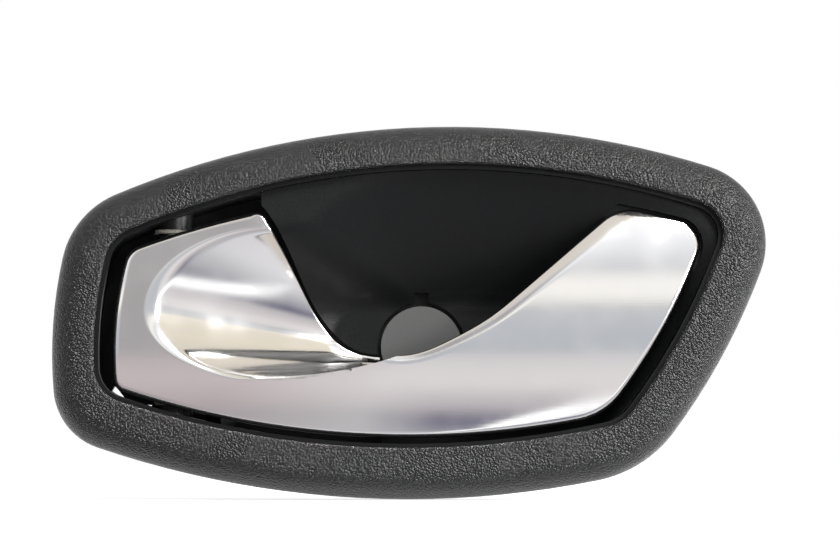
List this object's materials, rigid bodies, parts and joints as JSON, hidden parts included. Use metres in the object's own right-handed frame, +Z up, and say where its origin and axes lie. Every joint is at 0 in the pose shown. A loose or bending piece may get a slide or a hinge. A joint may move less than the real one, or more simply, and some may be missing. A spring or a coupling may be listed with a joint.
{
  "type": "car interior door handle",
  "caption": "Bowed oval bezel around a finger bowl, with a sprung chrome lever scooped at its hinge end and broad at its paddle end, that pulls a door latch cable.",
  "frame": {"origin": "axis of the fixing hole, at the back face of its boss", "axes": "+X along the length, to the right seen from the cabin; +Z up; +Y along the fixing hole, away from the cabin"},
  "size_m": [0.1593, 0.036, 0.0832],
  "materials": {
    "grained_plastic": "fine grain",
    "bowl_plastic": "satin",
    "carrier_plastic": "plain",
    "chrome_plate": "bright",
    "bush_plastic": "natural",
    "buffer_rubber": "matt",
    "zinc_steel": "zinc plated",
    "spring_steel": "bright wire"
  },
  "bodies": {
    "housing": {"bezel": "grained_plastic", "bowl": "bowl_plastic", "screw_cap": "bowl_plastic", "screw_sleeve": "zinc_steel", "bezel_screws": "zinc_steel", "upper_bush": "bush_plastic", "lower_bush": "bush_plastic", "upper_rest_buffer": "buffer_rubber", "lower_rest_buffer": "buffer_rubber", "open_stop_buffer": "buffer_rubber", "return_spring": "spring_steel"},
    "handle": {"lever": "chrome_plate", "lever_carrier": "carrier_plastic", "carrier_screws": "zinc_steel", "pivot_pin": "zinc_steel", "pin_clip": "spring_steel"}
  },
  "joints": [
    {"name": "lever_pull", "type": "hinge", "parent": "housing", "child": "handle", "pos_m": [-0.056, -0.0234, 0.0045], "axis": [0, 0, -1], "range_deg": [0, 30], "stiffness_Nm_per_rad": 0.29, "springref_deg": -29.79, "deforming": ["return_spring"]}
  ]
}
